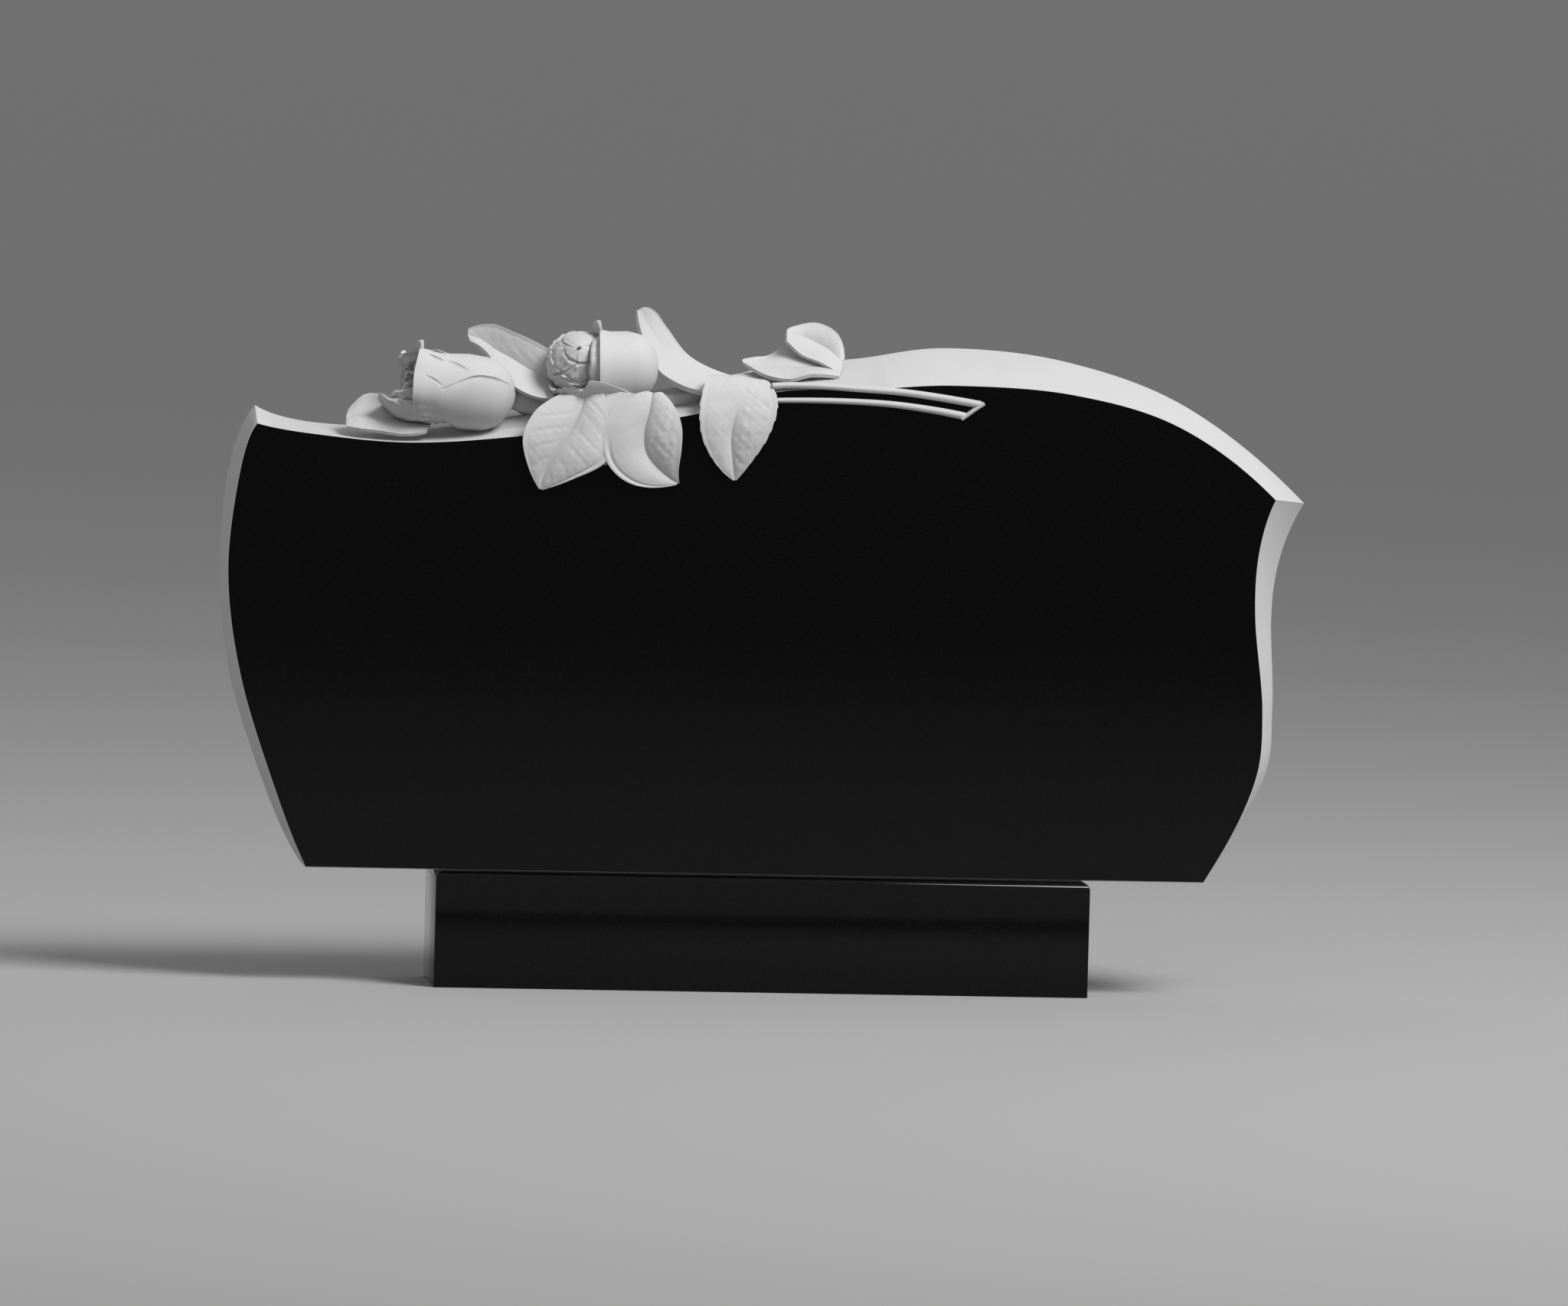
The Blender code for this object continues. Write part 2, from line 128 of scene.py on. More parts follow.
def sheet(name, upper, lower, material):
    """A closed sheet: two grids of points of the same size, joined along their four borders."""
    rows, columns, _ = upper.shape
    top = np.arange(rows * columns).reshape(rows, columns)
    low = top + rows * columns
    skin = quads(top[:-1].T, top[1:].T)
    faces = [
        skin,
        (skin + rows * columns)[:, ::-1],
        quads(top[0], low[0])[:, ::-1],
        quads(top[-1], low[-1]),
        quads(top[:, 0], low[:, 0]),
        quads(top[:, -1], low[:, -1])[:, ::-1],
    ]
    points = np.concatenate([upper.reshape(-1, 3), lower.reshape(-1, 3)])
    return add_mesh(name, points, np.concatenate(faces).tolist(), [material])


def round_walls(ring):
    """Faces between each two neighbouring rings of point numbers, closed all the way round."""
    closed = np.concatenate([ring, ring[:, :1]], axis=1)
    return np.concatenate([quads(closed[i], closed[i + 1]) for i in range(len(ring) - 1)])


def bar(name, rings, materials, finish=0, caps=(0, 0)):
    """A closed bar through rings of points, with a flat face over each end. The finish is one number, or one
    for each band between two rings, and caps gives the two ends'."""
    rows, sides, _ = rings.shape
    ring = np.arange(rows * sides).reshape(rows, sides)
    bands = np.repeat(np.broadcast_to(finish, rows - 1), sides)
    faces = round_walls(ring).tolist() + [ring[0][::-1].tolist(), ring[-1].tolist()]
    return add_mesh(name, rings, faces, materials, np.concatenate([bands, caps]))


# %% [markdown]
# ## Two finishes of one stone
# Gabbro is a dark rock of interlocked crystals a millimetre or so across. Polished, the crystals close into a
# black mirror with faint lighter flecks. Honed or bush-hammered, the broken crystal faces scatter the light
# and the same rock turns pale grey. Both finishes share one node group that gives the crystals: cells of a
# Voronoi pattern, some of them flecks, and a slow cloud of lighter and darker stone between them.

# %% The crystal pattern, a node group used by every finish
def crystal_group():
    """Fleck is 1 in the few cells whose random value passes the limit; Cloud drifts between 0 and 1."""
    group = bpy.data.node_groups.new("stone_crystals", "ShaderNodeTree")
    socket = group.interface.new_socket
    socket("Grain Size", in_out="INPUT", socket_type="NodeSocketFloat").default_value = 0.0012
    socket("Fleck Share", in_out="INPUT", socket_type="NodeSocketFloat").default_value = 0.15
    socket("Cloud Size", in_out="INPUT", socket_type="NodeSocketFloat").default_value = 0.12
    for output in ("Fleck", "Grain", "Cloud", "Tooth"):
        socket(output, in_out="OUTPUT", socket_type="NodeSocketFloat")
    nodes, link = group.nodes, group.links.new
    given, result = nodes.new("NodeGroupInput"), nodes.new("NodeGroupOutput")
    where = nodes.new("ShaderNodeTexCoord")

    def node(kind, **settings):
        made = nodes.new(kind)
        for key, value in settings.items():
            setattr(made, key, value)
        return made

    per_metre = node("ShaderNodeMath", operation="DIVIDE")
    per_metre.inputs[0].default_value = 1.0
    link(given.outputs["Grain Size"], per_metre.inputs[1])
    cells = node("ShaderNodeTexVoronoi")
    link(where.outputs["Object"], cells.inputs["Vector"])
    link(per_metre.outputs[0], cells.inputs["Scale"])
    value = node("ShaderNodeSeparateColor")
    link(cells.outputs["Color"], value.inputs["Color"])
    link(value.outputs["Red"], result.inputs["Grain"])
    rare = node("ShaderNodeMath", operation="LESS_THAN")
    link(value.outputs["Green"], rare.inputs[0])
    link(given.outputs["Fleck Share"], rare.inputs[1])
    link(rare.outputs[0], result.inputs["Fleck"])
    per_cloud = node("ShaderNodeMath", operation="DIVIDE")
    per_cloud.inputs[0].default_value = 1.0
    link(given.outputs["Cloud Size"], per_cloud.inputs[1])
    cloud = node("ShaderNodeTexNoise")
    cloud.inputs["Detail"].default_value = 4.0
    link(where.outputs["Object"], cloud.inputs["Vector"])
    link(per_cloud.outputs[0], cloud.inputs["Scale"])
    link(cloud.outputs["Fac"], result.inputs["Cloud"])
    tooth = node("ShaderNodeTexNoise")
    tooth.inputs["Detail"].default_value = 3.0
    tooth.inputs["Roughness"].default_value = 0.7
    link(where.outputs["Object"], tooth.inputs["Vector"])
    link(per_metre.outputs[0], tooth.inputs["Scale"])
    link(tooth.outputs["Fac"], result.inputs["Tooth"])
    return group


crystals = crystal_group()
given_out = [s.name for s in crystals.interface.items_tree if s.in_out == "OUTPUT"]
print("node group", crystals.name, "gives", given_out)


# %% A finish made from the crystals
def finish(name, ground, fleck, cloud_tones, roughness, grain, share, tooth_depth):
    """A stone finish. The ground colour is multiplied by the cloud's two tones, flecks of the second colour
    lie over it, and the roughness moves a little from crystal to crystal between its two values. The grain
    is the crystals' size and the tooth the depth of their broken edges, both in metres."""
    material = bpy.data.materials.new(name)
    material.use_nodes = True
    nodes, link = material.node_tree.nodes, material.node_tree.links.new
    shader = nodes["Principled BSDF"]
    pattern = nodes.new("ShaderNodeGroup")
    pattern.node_tree = crystals
    pattern.inputs["Grain Size"].default_value = grain
    pattern.inputs["Fleck Share"].default_value = share
    tone = nodes.new("ShaderNodeMapRange")
    tone.inputs["From Min"].default_value, tone.inputs["From Max"].default_value = 0.3, 0.7
    tone.inputs["To Min"].default_value, tone.inputs["To Max"].default_value = cloud_tones
    link(pattern.outputs["Cloud"], tone.inputs["Value"])
    shade = nodes.new("ShaderNodeVectorMath")
    shade.operation = "SCALE"
    shade.inputs[0].default_value = ground
    link(tone.outputs["Result"], shade.inputs["Scale"])
    mix = nodes.new("ShaderNodeMix")
    mix.data_type = "RGBA"
    link(pattern.outputs["Fleck"], mix.inputs["Factor"])
    link(shade.outputs["Vector"], mix.inputs["A"])
    mix.inputs["B"].default_value = (*fleck, 1.0)
    link(mix.outputs["Result"], shader.inputs["Base Color"])
    rough = nodes.new("ShaderNodeMapRange")
    rough.inputs["To Min"].default_value, rough.inputs["To Max"].default_value = roughness
    link(pattern.outputs["Grain"], rough.inputs["Value"])
    link(rough.outputs["Result"], shader.inputs["Roughness"])
    bump = nodes.new("ShaderNodeBump")
    bump.inputs["Distance"].default_value = tooth_depth
    bump.inputs["Strength"].default_value = 1.0
    link(pattern.outputs["Tooth"], bump.inputs["Height"])
    link(bump.outputs["Normal"], shader.inputs["Normal"])
    return material


POLISH_GLOSS = 0.24
polished = finish(
    "polished_black_stone",
    ground=(0.0006, 0.0006, 0.0007),
    fleck=(0.003, 0.003, 0.0033),
    cloud_tones=(0.8, 1.2),
    roughness=(0.03, 0.06),
    grain=0.0011,
    share=0.12,
    tooth_depth=0.0,
)
polished.node_tree.nodes["Principled BSDF"].inputs["Specular IOR Level"].default_value = POLISH_GLOSS
honed = finish(
    "honed_stone",
    ground=(0.465, 0.465, 0.465),
    fleck=(0.44, 0.44, 0.44),
    cloud_tones=(0.96, 1.03),
    roughness=(0.62, 0.8),
    grain=0.0009,
    share=0.12,
    tooth_depth=0.00007,
)
print("finishes:", polished.name, "and", honed.name)

# %% [markdown]
# ## The slab
# The slab is sawn from a 10 cm plate along a flowing line, and its edge is cut at a slant, so that the back
# stands out further than the face and the pale edge shows all along the top and the right. One closed line
# runs through stations on the face, and each station also says how far the back stands out there.

# %% Stations of the slab's outline
# Each row: across and up on the face as shares of the slab's width and height, and the back's stand-out
# across and up as shares of the slope.
TOP_EDGE = (
    (-0.471, 0.836, 0.07, 0.34),
    (-0.417, 0.818, 0.02, 0.19),
    (-0.329, 0.806, 0.00, 0.33),
    (-0.225, 0.824, 0.00, 0.53),
    (-0.077, 0.868, 0.00, 0.58),
    (0.004, 0.916, 0.00, 0.52),
    (0.085, 0.924, 0.00, 0.66),
    (0.167, 0.935, 0.02, 0.82),
    (0.275, 0.922, 0.09, 0.71),
    (0.375, 0.864, 0.44, 0.40),
    (0.465, 0.730, 1.00, -0.16),
)
RIGHT_EDGE = (
    TOP_EDGE[-1],
    (0.451, 0.629, 0.82, -0.18),
    (0.449, 0.505, 0.69, -0.04),
    (0.458, 0.324, 0.54, 0.00),
    (0.451, 0.182, 0.52, 0.00),
    (0.407, 0.000, 0.27, 0.00),
)
LEFT_EDGE = (
    (-0.418, 0.000, 0.00, 0.00),
    (-0.446, 0.137, -0.13, 0.00),
    (-0.481, 0.356, -0.14, 0.00),
    (-0.495, 0.556, -0.06, 0.00),
    (-0.486, 0.746, -0.12, 0.04),
    TOP_EDGE[0],
)
EDGE_STEPS = 12
ARRIS = 0.8 * MM


def along_edge(stations):
    """The smooth line through the stations, in equal steps, without its last point."""
    steps = EDGE_STEPS * (len(stations) - 1)
    return through(stations, np.arange(steps) / steps)


def outline():
    """The face's outline and the back's, clockwise from the top left corner, across and up in metres. The
    bottom edge is one straight run between its two corners."""
    bottom = np.linspace(RIGHT_EDGE[-1], LEFT_EDGE[0], EDGE_STEPS, endpoint=False)
    loop = np.concatenate([along_edge(TOP_EDGE), along_edge(RIGHT_EDGE), bottom, along_edge(LEFT_EDGE)])
    face = loop[:, :2] * (SLAB_WIDTH, SLAB_HEIGHT) + (0, slab_foot)
    return face, face + loop[:, 2:] * EDGE_SLOPE


def inwards(line, distance):
    """A closed line moved inwards: each point goes square to the step between its two neighbours."""
    step = np.roll(line, -1, axis=0) - np.roll(line, 1, axis=0)
    step /= np.linalg.norm(step, axis=1, keepdims=True)
    return line + distance * np.stack([step[:, 1], -step[:, 0]], axis=1)


# %% The slab's block
def slab():
    """A bar of four rings from the face to the back: the polished face, its fine arris, the slanted edge and
    the back's arris."""
    face, back = outline()
    lines = (inwards(face, ARRIS), face, back, inwards(back, ARRIS))
    levels = (face_y, face_y + ARRIS, -face_y - ARRIS, -face_y)
    rings = np.stack([np.insert(line, 1, y, axis=1) for line, y in zip(lines, levels)])
    return bar("headstone", rings, [polished, honed], finish=(1, 1, 1), caps=(0, 0))


headstone = slab()
spray_across = SPRAY_MIDDLE * SLAB_WIDTH
edge_line = outline()[0]
upper_half = edge_line[: EDGE_STEPS * (len(TOP_EDGE) - 1)]
spray_up = float(np.interp(spray_across, upper_half[:, 0], upper_half[:, 1]))
ORIGIN = np.array((spray_across, face_y, spray_up))
print("slab of", len(edge_line), "points round; the spray is placed from", ORIGIN.round(4))


def placed(points):
    """Points given as millimetres across, out and up from the middle of the spray, as places in the model."""
    return ORIGIN + np.asarray(points, dtype=float) * (MM, -MM, MM)


# %% [markdown]
# ## The leaves
# A carved rose leaf is folded along its midrib like a shallow valley, each half swells a little, side veins
# run slantwise to the margin, and the margin itself turns up to a thin lip with small teeth. A sculptor
# finds three lines first: the midrib and the two margins. Here each line is a smooth curve through a few
# places, and the leaf is the surface between them, with its swelling, veins and lip added along its normal.

# %% The leaf's surface
# The leaf's end, the veins' slant and the runs over which fold and lip set in are shares of its length. The
# veins' width is a share of the step between two veins, the margin groove's depth one of the lip's height, and
# the others are shares of half the leaf's width.
LEAF_END = 0.985
TOOTH_SHARE = 0.03
VEIN_SLANT = 0.22
VEIN_WIDTH = 0.13
RIB_WIDTH = 0.05
FOLD_RUN = 0.2
LIP_RUN = 0.15
LIP_PLACE = 0.88
LIP_WIDTH = 0.08
MARGIN_GROOVE = 0.86
MARGIN_GROOVE_WIDTH = 0.04
MARGIN_GROOVE_DEPTH = 0.7


def between_veins(s, t, count):
    """Depth pattern of the side veins: 1 on lines that run from the midrib outwards and towards the tip,
    falling off as a bell on both sides."""
    phase = (s - VEIN_SLANT * np.abs(t)) * count
    return np.exp(-(((phase % 1.0) - 0.5) / VEIN_WIDTH) ** 2)


CHISEL_WAVES = 16
CHISEL_LENGTHS = (5 * MM, 12 * MM)


def chisel(points):
    """Uneven marks of a chisel, between about -1 and 1: a sum of sine waves that cross the stone in seeded
    directions, each with its own length and start."""
    draw = np.random.default_rng(7)
    waves = draw.normal(size=(CHISEL_WAVES, 3))
    lengths = np.linalg.norm(waves, axis=1) * draw.uniform(*CHISEL_LENGTHS, CHISEL_WAVES)
    waves *= 2 * np.pi / lengths[:, None]
    starts = draw.uniform(0, 2 * np.pi, CHISEL_WAVES)
    return np.sin(points @ waves.T + starts).sum(axis=-1) / math.sqrt(CHISEL_WAVES)


def leaf_skins(rails, rows, columns, swell=0.10, veins=6, vein_depth=0.8 * MM, lips=(0.6 * MM, 0.6 * MM),
               lip_from=-0.15, teeth=0, rib_depth=0.8 * MM, fold_from=-1.0, rough=(0, 0)):
    """The leaf's plain surface, its carved surface and its normals, as grids from base to tip and from the
    left margin over the midrib to the right one. The plain point is the midrib's plus the share |t| of the
    way to the margin; the carving adds, along the normal, half a sine wave for each half's swelling, less
    the veins and the midrib's groove, plus the lip and the chisel's marks. The swelling and the midrib's
    groove set in at the share fold_from of the way to the tip, the lip at lip_from."""
    s = np.linspace(0, LEAF_END, rows)[:, None]
    t = np.linspace(-1, 1, columns)[None, :]
    left, rib, right = (placed(through(rails[key], s[:, 0]))[:, None] for key in ("left", "rib", "right"))
    saw = (s * teeth) % 1.0 - 0.5 if teeth else 0 * s
    reach = np.abs(t) * (1 + TOOTH_SHARE * saw * np.abs(t) ** 6)
    side = np.where(t[..., None] < 0, left - rib, right - rib)
    plain = rib + reach[..., None] * side
    normal = np.cross(np.gradient(rib, axis=0), right - left)
    normal /= np.linalg.norm(normal, axis=-1, keepdims=True)
    normal *= np.sign(np.mean(normal[..., 2] - normal[..., 1]))
    half = np.linalg.norm(side, axis=-1)
    inside = ease(np.abs(t) / 0.25) * ease((0.92 - np.abs(t)) / 0.2)
    middle = np.sin(np.pi * np.clip(s * 0.96 + 0.04, 0, 1)) ** 0.5
    folded = ease((s - fold_from) / FOLD_RUN)
    height = folded * swell * half * np.sin(np.pi * np.abs(t) ** 0.85)
    height -= vein_depth * middle * between_veins(s, t, veins) * inside
    height -= folded * rib_depth * np.exp(-((t / RIB_WIDTH) ** 2)) * (1 - s) ** 0.4
    lip = np.where(t < 0, lips[0], lips[1]) * ease((s - lip_from) / LIP_RUN)
    groove = np.exp(-(((np.abs(t) - MARGIN_GROOVE) / MARGIN_GROOVE_WIDTH) ** 2))
    raised = ease((np.abs(t) - LIP_PLACE) / LIP_WIDTH) - MARGIN_GROOVE_DEPTH * groove
    height += lip * middle * raised
    height += np.where(t < 0, rough[0], rough[1]) * middle * inside * chisel(plain)
    return plain, plain + height[..., None] * normal, normal


def leaf(name, rails, thickness=9 * MM, thinning=0.4, rows=44, columns=41, undercut=0.0, **carving):
    """A closed leaf. The lower skin lies a thickness behind the plain surface, thinner at the margins by the
    thinning's share, and drawn in towards the midrib by the undercut's share."""
    plain, carved, normal = leaf_skins(rails, rows, columns, **carving)
    s = np.linspace(0, LEAF_END, rows)[:, None, None]
    t = np.linspace(-1, 1, columns)[None, :, None]
    lower = plain - normal * thickness * (1 - thinning * t**2) * (1 - 0.8 * s**12)
    lower += undercut * (lower[:, columns // 2][:, None] - lower) * np.abs(t)
    return sheet(name, carved, lower, honed)


# %% The leaves' rails
# Millimetres across, out and up from the middle of the spray, from the base of each leaf to its tip.
FACE_LEAVES = {
    "leaf_front_left": dict(
        left=((-86, -8, 31), (-108, 4, 21), (-126, 13, 6), (-137, 20, -20), (-131, 18, -50), (-116, 9, -78)),
        rib=((-67, 0, 34), (-73, 8, 12), (-84, 12, -12), (-98, 14, -34), (-110, 12, -56), (-116, 9, -78)),
        right=((-49, 5, 33), (-44, 12, 12), (-43, 15, -18), (-46, 17, -45), (-80, 16, -64), (-116, 9, -78)),
    ),
    "leaf_front_saddle": dict(
        left=((-64, -6, 27), (-64, 2, 6), (-61, 8, -14), (-55, 11, -32), (-46, 11, -50)),
        rib=((-46, 3, 33), (-45, 10, 14), (-45, 12, -8), (-45, 12, -28), (-46, 10, -50)),
        right=((-14, 6, 30), (-18, 11, 8), (-24, 14, -12), (-34, 15, -30), (-45, 12, -50)),
    ),
    "leaf_front_middle": dict(
        left=((-1, 2, 33), (-30, 8, 20), (-48, 15, -8), (-43, 17, -47), (-12, 15, -70), (37, 9, -68)),
        rib=((6, 2, 31), (2, 9, 11), (-3, 10, -12), (0, 9, -34), (15, 9, -52), (37, 9, -68)),
        right=((16, 2, 32), (30, 14, 15), (37, 20, -6), (37, 20, -30), (35, 15, -52), (37, 9, -68)),
    ),
    "leaf_front_right": dict(
        left=((74, -36, 46), (66, -4, 50), (57, 14, 21), (59, 18, -14), (75, 15, -44), (98, 8, -64)),
        rib=((100, -36, 48), (99, -4, 48), (98, 13, 20), (92, 14, -13), (94, 12, -39), (98, 8, -64)),
        right=((124, -36, 46), (136, -4, 43), (142, 14, 20), (133, 18, -12), (116, 15, -40), (98, 8, -64)),
    ),
}
TOP_LEAVES = {
    "leaf_behind_right_rose": dict(
        left=((123, -10, 36), (59, -14, 34), (21, -28, 49), (9, -36, 67), (-4, -42, 94), (-9, -48, 120)),
        rib=((125, -34, 42), (70, -38, 42), (32, -46, 61), (16, -52, 84), (3, -54, 105), (-5, -50, 121)),
        right=((127, -60, 46), (89, -62, 52), (51, -64, 70), (26, -64, 100), (12, -60, 118), (-1, -52, 123)),
    ),
    "leaf_behind_left_rose": dict(
        left=(
            (-102, -14, 22), (-123, -18, 24), (-144, -22, 34),
            (-162, -28, 52), (-176, -36, 72), (-193, -52, 82),
        ),
        rib=(
            (-94, -46, 37), (-120, -52, 49), (-146, -56, 64),
            (-163, -58, 73), (-178, -58, 83), (-195, -58, 88),
        ),
        right=(
            (-88, -50, 64), (-119, -52, 82), (-145, -54, 93),
            (-164, -56, 100), (-182, -58, 99), (-194, -60, 94),
        ),
    ),
    "leaf_far_left": dict(
        left=(
            (-241, 0, -16), (-265, 1, -20), (-292, 1, -17),
            (-313, 0, -15), (-326, -4, -13), (-328, -10, -10),
        ),
        rib=(
            (-236, -22, -10), (-264, -23, -6), (-291, -23, -2),
            (-312, -24, -1), (-323, -24, -3), (-327, -22, -6),
        ),
        right=(
            (-230, -52, -2), (-262, -56, 14), (-289, -60, 21),
            (-306, -56, 20), (-320, -42, 9), (-326, -32, 1),
        ),
    ),
    "leaf_sprig_upper": dict(
        left=((216, -42, 54), (196, -46, 66), (175, -52, 74), (162, -55, 85), (157, -56, 90)),
        rib=((219, -60, 68), (206, -70, 80), (189, -73, 89), (172, -70, 96), (157, -60, 97)),
        right=((223, -66, 70), (216, -76, 97), (193, -80, 109), (167, -74, 105), (158, -62, 100)),
    ),
    "leaf_sprig_lower": dict(
        left=((214, -34, 52), (184, -24, 54), (157, -22, 48), (133, -28, 52), (117, -42, 60), (109, -56, 65)),
        rib=((219, -50, 60), (187, -52, 62), (160, -52, 61), (134, -54, 61), (121, -56, 63), (108, -57, 67)),
        right=(
            (222, -64, 69), (189, -76, 76), (159, -80, 81),
            (139, -74, 72), (122, -66, 70), (109, -58, 68),
        ),
    ),
}
LEAF_CARVING = {
    "leaf_front_left": dict(
        lips=(0.3 * MM, 1.8 * MM), lip_from=0.5, veins=7, vein_depth=0.45 * MM, rib_depth=0.4 * MM,
        rough=(0.15 * MM, 0.2 * MM),
    ),
    "leaf_front_saddle": dict(lips=(0, 0), vein_depth=0, rib_depth=0, swell=0),
    "leaf_front_middle": dict(
        lips=(1.8 * MM, 0.3 * MM), lip_from=0.42, veins=5, vein_depth=0.2 * MM, rough=(0.08 * MM, 0.3 * MM),
    ),
    "leaf_front_right": dict(
        lips=(0.3 * MM, 0.3 * MM), vein_depth=0.3 * MM, rib_depth=0.3 * MM, teeth=12, fold_from=0.38,
        rough=(0.15 * MM, 0.3 * MM),
    ),
    "leaf_behind_right_rose": dict(vein_depth=0, rib_depth=0, swell=0.02),
    "leaf_behind_left_rose": dict(vein_depth=0.15 * MM, swell=0.03, rib_depth=0, rough=(0, 0.3 * MM)),
    "leaf_far_left": dict(
        thickness=5 * MM, vein_depth=0.2 * MM, rib_depth=0.2 * MM, teeth=11, rough=(0.2 * MM, 0.1 * MM),
    ),
    "leaf_sprig_upper": dict(
        thickness=7 * MM, lips=(0.2 * MM, 0.3 * MM), vein_depth=0.2 * MM, rib_depth=0, swell=0.08,
    ),
    "leaf_sprig_lower": dict(thickness=6 * MM, vein_depth=0, rib_depth=0, swell=0.05, teeth=5),
}
FACE_LEAF = dict(thickness=26 * MM, thinning=0.1, rows=80, columns=77, undercut=0.12)
carvings = [leaf(name, rails, **FACE_LEAF, **LEAF_CARVING[name]) for name, rails in FACE_LEAVES.items()]
carvings += [leaf(name, rails, **LEAF_CARVING[name]) for name, rails in TOP_LEAVES.items()]
print("leaves:", len(carvings))

# %% [markdown]
# ## The roses
# Each rose is a half-open bud lying on its side. Carvers block it out as an egg, then cut the petals as
# scales that wrap round it: a wide outer one with a rolled rim, and inner ones that stand further out. The
# creases between them are cut last with a round tool. A petal here is a curved sheet in the flower's own
# measures: height along the axis, distance from it and turns round it.

# %% A frame of the flower's own
def flower_frame(foot, opens):
    """The foot's place, the axis, the direction nearest to up and the one towards the viewer."""
    axis = np.array(opens, dtype=float) * (1, -1, 1)
    axis /= np.linalg.norm(axis)
    up = np.array((0.0, 0.0, 1.0)) - axis[2] * axis
    up /= np.linalg.norm(up)
    front = np.cross(up, axis)
    front *= -np.sign(front[1])
    return placed(foot), axis, up, front


def around(frame_, height, radius, turns):
    """Places from heights, distances and turns: none is up, a quarter faces the viewer, a half is down."""
    foot, axis, up, front = frame_
    angle = 2 * np.pi * turns
    ring = np.cos(angle)[..., None] * up + np.sin(angle)[..., None] * front
    return foot + (height * MM)[..., None] * axis + (radius * MM)[..., None] * ring


# %% One petal
# Starts and runs are shares of the petal's height; the underside's rise and the deepest roll are millimetres.
ROLL_START, ROLL_RUN = 0.72, 0.28
PEAK_START, PEAK_RUN = 0.86, 0.14
PEAK_BEND = 0.11
PEAK_UNDERSIDE = 3.5
DEEPEST_ROLL = 2.5
WAVES_ACROSS = 3.1
MARGIN_POWER = 6


def petal(name, frame_, profile, turn, span, base, reach, grow=0.0, flare=3.0, thickness=4.0, wave=0.0,
          lean=0.0, peak=0.0, crown=0.22, lip=0.0, tilt=0.0, rough=0.0, point=0.22, power=3.5, foot=0.62,
          full=0.6, rows=26, columns=25):
    """A petal from its base to its rim. The profile gives the distance from the axis at each height; grow
    adds to it, and the last quarter rolls outwards by the flare. The rim is lower at the petal's two sides,
    by the point's share times a power of the way out, leans towards the viewer by the lean, and may turn up
    in a peak as wide as the crown's share. The foot is a share of the rim's width, which is reached at the
    full share of the height. The lip lifts the petal's first side, the tilt lifts the last side and sinks
    the first, the wave ripples the rim, and rough is the depth of the chisel's marks."""
    s = np.linspace(0, 1, rows)[:, None]
    t = np.linspace(-1, 1, columns)[None, :]
    width = foot + (1 - foot) * np.sin(np.pi / 2 * np.minimum(s / full, 1))
    turns = turn + span * t * width
    drop = point * np.abs(t) ** power
    rim = reach + lean * np.sin(2 * np.pi * (turn + span * t))
    height = base + (rim - base) * s * (1 - drop * s)
    out = np.interp(height, *np.array(profile).T) + grow * ease(s / 0.3)
    roll = ease((s - ROLL_START) / ROLL_RUN) ** 1.6
    stand = np.maximum(s - PEAK_START, 0) / PEAK_RUN * np.exp(-((t / crown) ** 4)) * (peak > 0)
    height = height - PEAK_BEND * (rim - base) * stand
    out = out + peak * stand + lip * s * np.exp(-(((t + 1) / 0.4) ** 2)) + tilt * s * t
    ripple = wave * np.sin(WAVES_ACROSS * np.pi * t + turn * 20) * s**3
    out = out + flare * roll * (1 - 0.3 * t**2) + ripple
    edge = np.abs(t) ** MARGIN_POWER
    wall = thickness * (1 - 0.5 * s) * (1 - 0.45 * edge)
    out = out + rough * chisel(around(frame_, height, out, turns)) * ease(s / 0.2) * (1 - edge)
    outside = around(frame_, height, out, turns)
    under = height - min(0.6 * flare, DEEPEST_ROLL) * roll + PEAK_UNDERSIDE * stand
    inside = around(frame_, under, out - wall, turns)
    return sheet(name, outside, inside, honed)


def egg(name, frame_, profile, sides=32, rows=22):
    """The flower's core, turned from a profile of heights and distances."""
    line = through(profile, np.linspace(0, 1, rows))
    turns = np.arange(sides)[None, :] / sides
    height, radius = (np.repeat(line[:, i : i + 1], sides, axis=1) for i in (0, 1))
    return bar(name, around(frame_, height, np.maximum(radius, 0.3), turns + 0 * height), [honed])


def groove(name, frame_, path, width, rows=24, sides=8):
    """A round tool's path over the petals, through heights, distances and turns. It is cut out of the stone.
    The tool's section is a ring in the plane of the height and the distance, turned by the path's slope."""
    line = through(path, np.linspace(0, 1, rows))
    middle = around(frame_, line[:, 0], line[:, 1], line[:, 2])
    run = np.gradient(middle, axis=0)
    run /= np.linalg.norm(run, axis=1, keepdims=True)
    outwards = around(frame_, line[:, 0], line[:, 1] + 1, line[:, 2]) - middle
    outwards /= np.linalg.norm(outwards, axis=1, keepdims=True)
    beside = np.cross(run, outwards)
    angle = np.linspace(0, 2 * np.pi, sides, endpoint=False)[:, None]
    size = width * MM / 2 * np.sin(np.pi * (0.04 + 0.92 * np.linspace(0, 1, rows))) ** 0.5
    ring = np.cos(angle) * outwards[:, None] * 1.6 + np.sin(angle) * beside[:, None]
    return bar(name, middle[:, None] + size[:, None, None] * ring, [honed])


def rose(name, frame_, core, petals, grooves):
    """The core, the petals and the grooves, in the order in which they are united and cut."""
    made = [egg(f"{name}_core", frame_, core)]
    made += [petal(f"{name}_{key}", frame_, **shape) for key, shape in petals.items()]
    return made + [groove(f"cut_{name}_{key}", frame_, **path) for key, path in grooves.items()]


